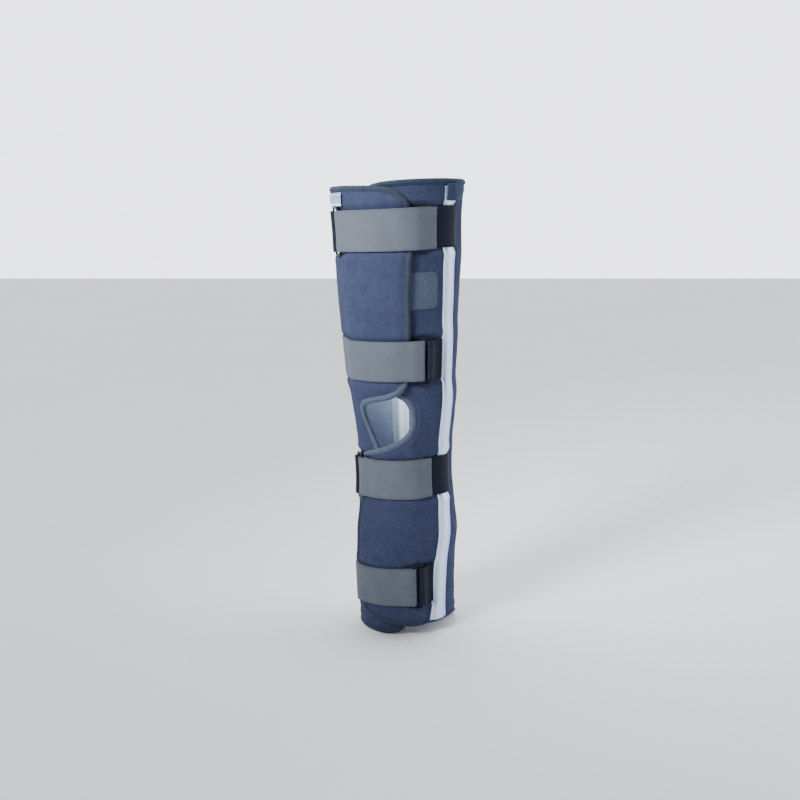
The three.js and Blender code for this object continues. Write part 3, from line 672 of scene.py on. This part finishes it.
def layTape(border, side, face):
    turn, z, way, at = evenPoints(border, tapeShape["step"])
    inward = inwardOf(way, side)

    def place(a, b):
        where = a * at[-1]
        t, h = np.interp(where, at, turn), np.interp(where, at, z)
        ix, iz = pairAt(where, at, inward)
        size = np.hypot(ix, iz)
        reach, depth, gone = tapeSection(b, face)
        phase = where * 2 * math.pi / tapeShape["puckerLength"] + 2 * np.sin(where / 31)
        outward = np.sign(depth + foamFeel["wall"] / 2)
        turnThere = t + np.degrees(reach * ix / size / skinAt(h))
        zThere = h + reach * iz / size
        low, high = rimBottom(turnThere) - tapeShape["rimReach"], rimTop(turnThere) + tapeShape["rimReach"]
        zThere = np.clip(zThere, low, high)
        places = onFoam(turnThere, zThere, depth + tapeShape["pucker"] * np.sin(phase) * outward)
        return places, (where, gone)
    return place, at[-1]


tapes = [  # piece, node, edge, side of the edge that the foam is on, width of a face, finish
    ("topEdgeTape", "edge_tape_top", topBorder, -1, 4.8, "topTape"),
    # the bottom tape wears painted shade all along
    ("bottomEdgeTape", "edge_tape_bottom", bottomBorder, 1, 3.0, "paintedShadeTape"),
    ("innerFlapTape", "edge_tape_inner_flap", innerBorder, 1, 4.6, "tape"),
    ("outerFlapTape", "edge_tape_outer_flap", outerBorder, -1, 4.6, "tape"),
]


# stitches: length, width and rise of one in a long seam and in a row across webbing
stitchShape = {"seam": (2.3, 0.42, 0.16), "row": (2.2, 0.45, 0.2), "pitch": 3.3, "ahead": 0.6}
stitching = {"grey": bmesh.new(), "white": bmesh.new(), "dark": bmesh.new()}


def stitchRow(bm, places, ways, normals, size):
    length, width, rise = size
    for place, way, normal in zip(places, ways, normals):
        way, normal = Vector(way).normalized(), Vector(normal).normalized()
        across = normal.cross(way).normalized()
        made = bmesh.ops.create_icosphere(bm, subdivisions=1, radius=1.0)["verts"]
        turned = Matrix((way * length / 2 * mm, across * width / 2 * mm, normal * rise * mm)).transposed()
        bmesh.ops.transform(bm, matrix=Matrix.Translation(Vector(place)) @ turned.to_4x4(), verts=made)


def sewAlong(kind, turn, z, lift, ground=surfaceRadius):  # a seam through flat points, over the ground
    gone = lengthAlong(flatPlace(turn, z))
    at = np.arange(stitchShape["pitch"] / 2, gone[-1], stitchShape["pitch"])
    h = np.interp(at, gone, z)

    def placeAt(where):
        t, up = np.interp(where, gone, turn), np.interp(where, gone, z)
        return polarPlace(t, ground(t, up) + lift, up)

    here, there = placeAt(at), placeAt(at + stitchShape["ahead"])
    ax, ay = middleAt(h)
    normals = here - np.column_stack([ax, np.full(len(h), ay), h]) * mm
    stitchRow(stitching[kind], here, there - here, normals, stitchShape["seam"])


for name, node, border, side, face, look in tapes:
    place, length = layTape(border, side, face)
    tape = layCloth(name, place, [look], columns=int(length / tapeShape["step"]), rows=16, node=node,
                    slot="edge_tape")
    thicken(tape, tapeShape["thickness"], offset=-1.0 if side < 0 else 1.0)
    length * mm
    turn, z, way, _ = evenPoints(border, tapeShape["seamStep"])
    inward, seamIn = inwardOf(way, side), face - tapeShape["seamIn"]
    turn = turn + np.degrees(seamIn * inward[:, 0] / skinAt(z))
    z = z + seamIn * inward[:, 1]
    sewAlong("grey", turn, z, tapeShape["seamLift"])
print("tape laid:", len(tapes))


# pockets of the stays; frontEdge gives degrees by height, section the rise across the pocket
pocketShape = {
    "width": 22.0, "proud": 3.0, "hem": 0.9, "wall": 0.55,
    "bottomTurn": 60, "topTurn": 75, "overTape": 3.5, "topGap": 1.0, "flare": 0.22, "flareHeight": 14.0,
    "pressShare": 0.8, "drape": 0.35, "pucker": 0.25, "seams": (0.13, 0.87), "seamWidth": 0.05,
    "seamEnds": (16, 12), "seamLift": 0.1,
    "frontEdge": [(0.00, 47.5), (0.04, 48.5), (0.16, 53.9), (0.32, 59.8), (0.44, 62.4), (0.64, 64.6),
                  (0.86, 63.2), (1.00, 63)],
    "section": [(0.00, 0.0), (0.10, 0.03), (0.15, 0.10), (0.24, 0.86), (0.50, 1.0), (0.76, 0.86),
                (0.85, 0.10), (0.90, 0.03), (1.00, 0.0)],
}
pocketFront = smoothTable([(h * height, f) for h, f in pocketShape["frontEdge"]])
pocketSection = smoothTable(pocketShape["section"], 300)


def pocketTurn(across, z):
    return np.interp(z, *pocketFront) + np.degrees(across * pocketShape["width"] / skinAt(z))


def pocketGround(turn, z):  # foam under the pocket, without its dents
    return skinAt(z) + sheetLift(turn, z) + strapPress(turn, z) * pocketShape["pressShare"]


def layPocket(a, b):
    shape = pocketShape
    low = rimBottom(shape["bottomTurn"]) + tapeShape["room"] - shape["overTape"]
    high = rimTop(shape["topTurn"]) - tapeShape["room"] - shape["topGap"]
    z = low + b * (high - low)
    flare = 1 + shape["flare"] * np.exp(-(z - low) / shape["flareHeight"])
    turn = pocketTurn(0.5 + (a - 0.5) * flare, z)
    raised = np.interp(a, *pocketSection)
    drape = shape["drape"] * np.sin(z / 23 + 1.3 * np.sin(z / 61)) * raised
    first, second = (hump(a, seam, shape["seamWidth"]) for seam in shape["seams"])
    wave = shape["pucker"] * np.sin(z / 4.1 + 3 * np.sin(z / 37)) * first
    wave = wave + shape["pucker"] * np.sin(z / 4.6 + 2 * np.sin(z / 29)) * second
    depth = shape["hem"] + raised * (shape["proud"] - shape["hem"]) + drape + wave
    return polarPlace(turn, pocketGround(turn, z) + depth, z), (a * shape["width"], z)


pocket = layCloth("stayPocket", layPocket, ["satin"], columns=26, rows=210, node="stay_pocket",
                  slot="pocket_satin")
thicken(pocket, pocketShape["wall"])
seamBottom, seamTop = pocketShape["seamEnds"]
seamHeights = np.linspace(seamBottom, height - seamTop, 400)
for share in pocketShape["seams"]:
    sewAlong("white", pocketTurn(share, seamHeights), seamHeights,
             pocketShape["hem"] + pocketShape["seamLift"], ground=pocketGround)

flapCloth = {"width": 21.5, "length": 20.5, "uncovered": 1.6, "thickness": 1.5, "over": 3.5,
             "overTape": 2.4, "sag": 0.8, "crown": 1.0, "roll": 0.4, "wrinkle": 0.3, "softness": 0.5}


def layPocketFlap(a, b):
    shape = flapCloth
    top = rimTop(pocketShape["topTurn"]) - tapeShape["room"] + shape["overTape"]
    z = top - (1 - b) * shape["length"] - shape["sag"] * np.sin(a * math.pi)
    turn = pocketTurn((shape["uncovered"] + a * shape["width"]) / pocketShape["width"], z)
    crown = shape["crown"] * np.sin(a * math.pi)**0.6 + shape["roll"] * np.sin(b * 3.0)
    radius = skinAt(z) + shape["over"] + crown + shape["wrinkle"] * np.sin(a * 9 + b * 4)
    return polarPlace(turn, radius, z), (a * shape["width"], b * shape["length"])


pocketFlap = layCloth("pocketFlap", layPocketFlap, ["foam"], columns=22, rows=20, node="stay_pocket_flap",
                      slot="foam_laminate")
thicken(pocketFlap, flapCloth["thickness"])
softenEdges(pocketFlap, flapCloth["softness"])

backStay = {"turn": 205.0, "width": 24.0, "proud": 2.4, "wall": 0.5, "gap": 0.55, "endGap": 1.0}


def layBackStay(a, b):
    shape, room = backStay, tapeShape["room"] + backStay["endGap"]
    low, high = rimBottom(shape["turn"]) + room, rimTop(shape["turn"]) - room
    z = low + b * (high - low)
    turn = shape["turn"] + np.degrees((a - 0.5) * shape["width"] / skinAt(z))
    depth = -foamFeel["wall"] - shape["gap"] - np.interp(a, *pocketSection) * shape["proud"]
    return onFoam(turn, z, depth), (a * shape["width"], z)


innerPocket = layCloth("backStayPocket", layBackStay, ["band"], columns=20, rows=150,
                       node="back_stay_pocket", slot="pocket_satin")
thicken(innerPocket, backStay["wall"], offset=1.0)
print("stay pockets sewn on")


# straps, tabs and loops are pulled taut over whatever lies under them
def presentRadius(front, z):
    innerEnd = np.interp(z, innerBorder[:, 1], innerBorder[:, 0]) - 360
    outerEnd = np.interp(z, outerBorder[:, 1], outerBorder[:, 0])
    perMm = 57.3 / skinAt(z)
    tapeRoom, tapeLift = (tapeShape["room"] + 2) * perMm, tapeShape["thickness"] + 0.05
    found = [0.0]
    if front < innerEnd + 2:
        lift = tapeLift if innerEnd - front < tapeRoom else 0
        found.append(surfaceRadius(min(front, innerEnd) + 360, z)[0] + lift)
    if front > outerEnd - 2:
        lift = tapeLift if front - outerEnd < tapeRoom else 0
        found.append(surfaceRadius(max(front, outerEnd), z)[0] + lift)
    start = pocketTurn(0, z)
    across = (front - start) / (pocketTurn(1, z) - start)
    if -0.02 < across < 1.02:
        raised = np.interp(across, *pocketSection) * (pocketShape["proud"] - pocketShape["hem"])
        ground = pocketGround(np.array([front]), np.array([z]))[0]
        found.append(ground + pocketShape["hem"] + raised + 0.3)
    return max(found)


foldRadius = (math.hypot(strapShape["barWidth"], strapShape["barThickness"]) / 2 + strapShape["barRoom"]
              + strapShape["thickness"] / 2)
barSpacing = 2 * (foldRadius + strapShape["thickness"] / 2) + strapShape["slotGap"]


def tautLift(strap, halfLoop):  # height of the strap's underside over the relaxed skin, by angle
    fronts = np.arange(-112, 112.1, 1.0)
    middle = strap["height"] * height
    rows = [middle + share * strapShape["width"] for share in (-0.46, -0.2, 0.0, 0.2, 0.46)]
    under = np.array([max(presentRadius(f, z) - skinAt(z) for z in rows) for f in fronts])
    reach = np.abs(fronts[:, None] - fronts[None, :])
    lift = (under[None, :] - strapShape["bridgeSlope"] * np.maximum(0, reach - 2)).max(axis=1)
    atLoop = max(np.interp(strap["loop"] + side * halfLoop, fronts, lift) for side in (-1, 1))
    flat = np.abs(fronts - strap["loop"]) < halfLoop + 3
    lift[flat] = np.maximum(lift[flat], atLoop)
    soft = np.convolve(np.pad(lift, 4, mode="edge"), np.ones(9) / 9, mode="valid")
    lift = np.maximum(soft, lift - 0.25)
    lift[flat] = lift[flat].max()
    return lambda front: np.interp(front, fronts, lift) + 0.05


def foldedPath(strap, lift, bar, startAt, endAt):  # plan in mm, length gone, share of the folded layer
    middle = strap["height"] * height
    base, thick = float(skinAt(middle)), strapShape["thickness"]
    side = math.copysign(1, bar - startAt)
    closed = thick + strapShape["layerGap"]

    def inner(front):
        return base + lift(front) + thick / 2

    def outer(front):
        spread = easeStep(1 - np.abs(front - bar) / strapShape["openAngle"])
        return inner(front) + closed + spread * (2 * foldRadius - closed)

    def plan(front, radius):
        return np.column_stack([radius * np.sin(np.radians(front)), -radius * np.cos(np.radians(front))])

    step = 1.4
    first = np.linspace(startAt, bar, max(4, int(abs(bar - startAt) / step)))
    last = np.linspace(bar, endAt, max(4, int(abs(bar - endAt) / step)))
    centre = plan(np.array([bar]), np.array([inner(bar) + foldRadius]))[0]
    out = centre / np.linalg.norm(centre)
    onward = np.array([-out[1], out[0]]) * side
    turns = np.linspace(-math.pi / 2, math.pi / 2, 12)[1:-1]
    fold = centre + foldRadius * (np.cos(turns)[:, None] * onward + np.sin(turns)[:, None] * out)
    path = np.vstack([plan(first, inner(first)), fold, plan(last, outer(last))])
    under = len(first) + len(fold) // 2
    share = np.concatenate([np.zeros(under), np.linspace(0, 1, len(path) - under)])
    return path, lengthAlong(path), share


def layWebbing(strap, path, gone, share, slant):
    shape = strapShape
    middle = strap["height"] * height
    ax, ay = middleAt(middle)
    sideways = shape["sideways"] if slant else 0

    def place(a, b):
        where = a * gone[-1]
        x, y = pairAt(where, gone, path)
        drop = slant * easeStep(np.interp(where, gone, share))
        rise = (b - 0.5) * shape["width"]
        z = strapHeight(strap, np.degrees(np.arctan2(x, -y))) + rise
        radius = np.hypot(x, y)
        out = skinAt(z) - skinAt(middle)
        edge = (np.abs(b - 0.5) * 2)**6
        wave = shape["wave"] * np.sin(where / shape["waveLength"] + 2.2 * b)
        out = out - shape["edgeDroop"] * edge + wave * (0.3 + edge)
        z = z + drop + sideways * np.sin(where / shape["sidewaysLength"])
        spread = (radius + out) / radius
        places = np.column_stack([x * spread + ax, y * spread + ay, z]) * mm
        return places, (where, b * shape["width"])
    return place


loopShape = {"height": strapShape["width"] + 4.0, "end": 3.4, "corner": 3.0, "soft": 0.55}


def makeLoop(strap, barRadius, halfLoop):
    bm = bmesh.new()
    bmesh.ops.create_grid(bm, x_segments=1, y_segments=1, size=0.5)
    outerWidth = barSpacing + strapShape["barWidth"]
    outerHeight = loopShape["height"] + 2 * loopShape["end"]
    bmesh.ops.scale(bm, vec=(outerWidth, outerHeight, 1), verts=bm.verts[:])
    bmesh.ops.bevel(bm, geom=bm.verts[:], offset=loopShape["corner"], offset_type="OFFSET", segments=5,
                    profile=0.5, affect="VERTICES", material=-1)
    rim = bmesh.ops.inset_region(bm, faces=bm.faces[:], thickness=strapShape["barWidth"],
                                 use_boundary=True, use_even_offset=True)
    middleFace = [f for f in bm.faces if f not in rim["faces"]]
    bmesh.ops.delete(bm, geom=middleFace, context="FACES_ONLY")
    pushed = bmesh.ops.extrude_face_region(bm, geom=bm.faces[:], use_keep_orig=True)
    bmesh.ops.translate(bm, vec=(0, 0, strapShape["barThickness"]),
                        verts=[v for v in pushed["geom"] if isinstance(v, bmesh.types.BMVert)])
    bmesh.ops.recalc_face_normals(bm, faces=bm.faces[:])
    sharp = [e for e in bm.edges if len(e.link_faces) == 2 and e.calc_face_angle() > 1.0]
    bmesh.ops.bevel(bm, geom=sharp, offset=loopShape["soft"], offset_type="OFFSET", segments=3, profile=0.5,
                    affect="EDGES", material=-1, clamp_overlap=True)
    bmesh.ops.translate(bm, vec=(0, 0, -strapShape["barThickness"] / 2), verts=bm.verts[:])
    low, high = (strap["height"] * height + s * strapShape["width"] / 2 for s in (-1, 1))
    lean = math.atan(float(skinAt(high) - skinAt(low)) / strapShape["width"])
    front = math.radians(strap["loop"])
    middle = float(strapHeight(strap, strap["loop"]))
    ax, ay = middleAt(strap["height"] * height)
    away = barRadius * math.cos(math.radians(halfLoop))
    seat = (Matrix.Translation((away * math.sin(front) + ax, -away * math.cos(front) + ay, middle))
            @ Matrix.Rotation(front, 4, "Z") @ Matrix.Rotation(math.pi / 2 + lean, 4, "X"))
    bmesh.ops.transform(bm, matrix=Matrix.Scale(mm, 4) @ seat, verts=bm.verts[:])
    finishPiece(strap["name"] + "Loop", bm, ["plastic"], node=strap["node"] + "_loop", slot="loop_plastic")


def crossStitches(kind, strap, path, gone, at, slant=0.0):  # a row across the webbing, on its outside
    x, y = pairAt(at, gone, path)
    middle = strap["height"] * height
    ax, ay = middleAt(middle)
    out = np.array([x, y]) / math.hypot(x, y)
    rises = np.arange(-21.5, 21.6, 3.1)
    z = float(strapHeight(strap, math.degrees(math.atan2(x, -y)))) + rises + slant
    push = skinAt(middle + rises) - skinAt(middle) + strapShape["thickness"] / 2 + 0.05
    places = np.column_stack([x + ax + out[0] * push, y + ay + out[1] * push, z]) * mm
    stitchRow(stitching[kind], places, [(0, 0, 1)] * len(places), [(out[0], out[1], 0)] * len(places),
              stitchShape["row"])


def foldWebbing(strap, name, path, slant, look, columnStep, **words):
    path, gone, share = path
    webbing = layCloth(name, layWebbing(strap, path, gone, share, slant), [look],
                       columns=int(gone[-1] / columnStep), rows=18, **words)
    thicken(webbing, strapShape["thickness"], offset=0.0)
    softenEdges(webbing, strapShape["softness"])
    gone[-1] * mm
    strapShape["width"] * mm
    strap["name"] + "Loop"
    print(name, "webbing cut to", round(gone[-1]), "mm")
    return path, gone


for strap in strapShape["rows"]:
    skin = float(skinAt(strap["height"] * height))
    overWebbing = strapShape["thickness"] / 2 + foldRadius
    halfLoop = math.degrees(math.asin(barSpacing / 2 / (skin + flapShape["layerStep"] + overWebbing)))
    lift = tautLift(strap, halfLoop)
    strapBar = strap["loop"] - strap["side"] * halfLoop
    tabBar = strap["loop"] + strap["side"] * halfLoop
    path, gone = foldWebbing(strap, strap["name"],
                             foldedPath(strap, lift, strapBar, strap["sewn"], strap["end"]),
                             strap["slant"], "darkEndWebbing" if strap["side"] < 0 else "webbing", 1.6,
                             node=strap["node"], slot="webbing")
    crossStitches("grey", strap, path, gone, gone[-1] - 2.2, strap["slant"])
    path, gone = foldWebbing(strap, strap["name"] + "Tab",
                             foldedPath(strap, lift, tabBar, strap["tab"], strap["tab"]),
                             0.0, "tab", 1.4, node=strap["node"] + "_tab", slot="tab_webbing")
    for back in (2.0, 4.2, 13.0):
        crossStitches("dark", strap, path, gone, gone[-1] - back)
    makeLoop(strap, float(skin + lift(strapBar)) + overWebbing, halfLoop)
print("straps fastened:", len(strapShape["rows"]))


# small sewn pieces, from and to in degrees
patchShape = {"from": 12.0, "to": 57.0, "middle": 0.769, "height": 45.0, "corner": 7.0, "thickness": 1.1,
              "lift": 1.35, "clothWidth": 60.0, "softness": 0.35}


def layPatch(a, b):
    shape = patchShape
    middle = shape["middle"] * height
    turn = shape["from"] + a * (shape["to"] - shape["from"])
    toEnd = np.radians(shape["to"] - turn) * skinAt(middle)
    inCorner = np.maximum(0, shape["corner"] - toEnd)
    cut = shape["corner"] - np.sqrt(np.maximum(0, shape["corner"]**2 - inCorner**2))
    z = middle + (b - 0.5) * (shape["height"] - 2 * cut)
    return onFoam(turn, z, shape["lift"]), (a * shape["clothWidth"], b * shape["height"])


patch = layCloth("closurePatch", layPatch, ["patch"], columns=44, rows=30, node="closure_patch",
                 slot="hook_patch")
thicken(patch, patchShape["thickness"])
softenEdges(patch, patchShape["softness"])

labelShape = {"from": 299.0, "to": 333.0, "height": 16.0, "thickness": 0.5, "topGap": 0.3, "tilt": 0.6,
              "lift": 1.8, "sideCurl": 0.9, "lowerCurl": 0.5, "wave": 0.3, "clothWidth": 51.0}


def layLabel(a, b):
    shape = labelShape
    turn = shape["from"] + a * (shape["to"] - shape["from"])
    top = rimTop(315) - tapeShape["room"] - shape["topGap"]
    z = top - (1 - b) * shape["height"] + shape["tilt"] * (a - 0.5)
    curl = shape["sideCurl"] * np.exp(-(1 - a) / 0.08) + shape["lowerCurl"] * np.exp(-b / 0.12)
    lift = shape["lift"] + shape["wave"] * np.sin(a * 11) + curl
    return onFoam(turn, z, lift), (a * shape["clothWidth"], b * shape["height"])


label = layCloth("sideLabel", layLabel, ["label"], columns=30, rows=18, node="label", slot="woven_label")
thicken(label, labelShape["thickness"])
print("patch and label sewn on")

for kind, bm in stitching.items():
    finishPiece(kind + "Stitches", bm, [kind + "Thread"])
print("stitches made")


# floor, light and camera, in metres and watts
stageLook = {"floor": 6.0, "bright": 3.1, "dim": 0.03, "turn": 0.1, "contrast": 1.7, "level": 0.8}
lamps = {
    "keyLamp": {"place": (-0.5, -1.1, 1.15), "target": (0, 0, 0.52), "size": 0.5, "watts": 3.6,
                "colour": (0.95, 0.98, 1.0), "spread": 45},
    "topLamp": {"place": (0.0, 0.2, 1.6), "target": (0, 0, 0.3), "size": 0.8, "watts": 1.6},
    "insideLamp": {"place": (-0.01, -0.035, 0.41), "target": (0, 0.07, 0.27), "size": 0.06, "watts": 0.14,
                   "spread": 80},
    "sideLamp": {"place": (1.3, 0.3, 0.6), "target": (0, 0, 0.3), "size": 0.9, "watts": 4.2,
                 "colour": (0.86, 0.92, 1.0)},
}


def makeFloor():
    bm = bmesh.new()
    bmesh.ops.create_grid(bm, x_segments=2, y_segments=2, size=stageLook["floor"])
    paper = Shader("palePaper", 0.9, 0.1)
    paper.feed("Base Color", paper.blend(paper.grain(2.0), rgb(243, 244, 246), rgb(250, 250, 251)))
    floor = addMesh("studioFloor", bm, [paper.material])


def addLamp(name, place, target, size, watts, colour=(1, 1, 1), spread=180.0):
    lamp = bpy.data.lights.new(name, "AREA")
    lamp.spread = math.radians(spread)
    lamp.size, lamp.energy, lamp.color = size, watts, colour
    made = bpy.data.objects.new(name, lamp)
    made.location = place
    made.rotation_euler = (Vector(target) - Vector(place)).to_track_quat("-Z", "Y").to_euler()
    bpy.context.scene.collection.objects.link(made)


class Surround(Shader):  # pale behind the brace, nearly dark in front of it
    def __init__(self, name):
        self.take(bpy.data.worlds.new(name), "Background")
        x, y, _ = self.axes(self.add("ShaderNodeTexCoord", out="Generated"))
        towards = (x * stageLook["turn"] - y) * stageLook["contrast"] + stageLook["level"]
        bright, dim = stageLook["bright"], stageLook["dim"]
        behind, before = (bright * 0.97, bright, bright * 1.05, 1.0), (dim, dim, dim * 1.2, 1.0)
        self.feed("Color", self.blend(towards.clamped(), behind, before))


makeFloor()
for name, lamp in lamps.items():
    addLamp(name, **lamp)
bpy.context.scene.world = Surround("studioWorld").material

cameraShape = {"focal": 1080.0, "frame": 800.0, "pitch": 10.5, "roll": 1.5, "distance": 1380.0,
               "eyeHeight": 553.5, "azimuth": 20.0, "axisAt": 402.0, "sensor": 36.0}


def makeCamera():
    shape = cameraShape
    azimuth, pitch, roll = (math.radians(shape[k]) for k in ("azimuth", "pitch", "roll"))
    back = Vector((math.sin(azimuth), -math.cos(azimuth), 0))
    right = Vector((math.cos(azimuth), math.sin(azimuth), 0))
    forward = -back * math.cos(pitch) - Vector((0, 0, math.sin(pitch)))
    up = right.cross(forward)
    imageRight = right * math.cos(roll) - up * math.sin(roll)
    imageUp = right * math.sin(roll) + up * math.cos(roll)
    turn = Matrix((imageRight, imageUp, -forward)).transposed().to_4x4()
    ax, ay = braceShape["axis"]
    eye = back * shape["distance"] + Vector((ax, ay, shape["eyeHeight"]))
    camera = bpy.data.cameras.new("photoCamera")
    camera.sensor_width = shape["sensor"]
    camera.lens = shape["focal"] / shape["frame"] * shape["sensor"]
    camera.shift_x = -(shape["axisAt"] - shape["frame"] / 2) / shape["frame"]
    made = bpy.data.objects.new("photoCamera", camera)
    made.matrix_world = Matrix.Translation(eye * mm) @ turn
    bpy.context.scene.collection.objects.link(made)
    bpy.context.scene.camera = made


makeCamera()
print("stage set")
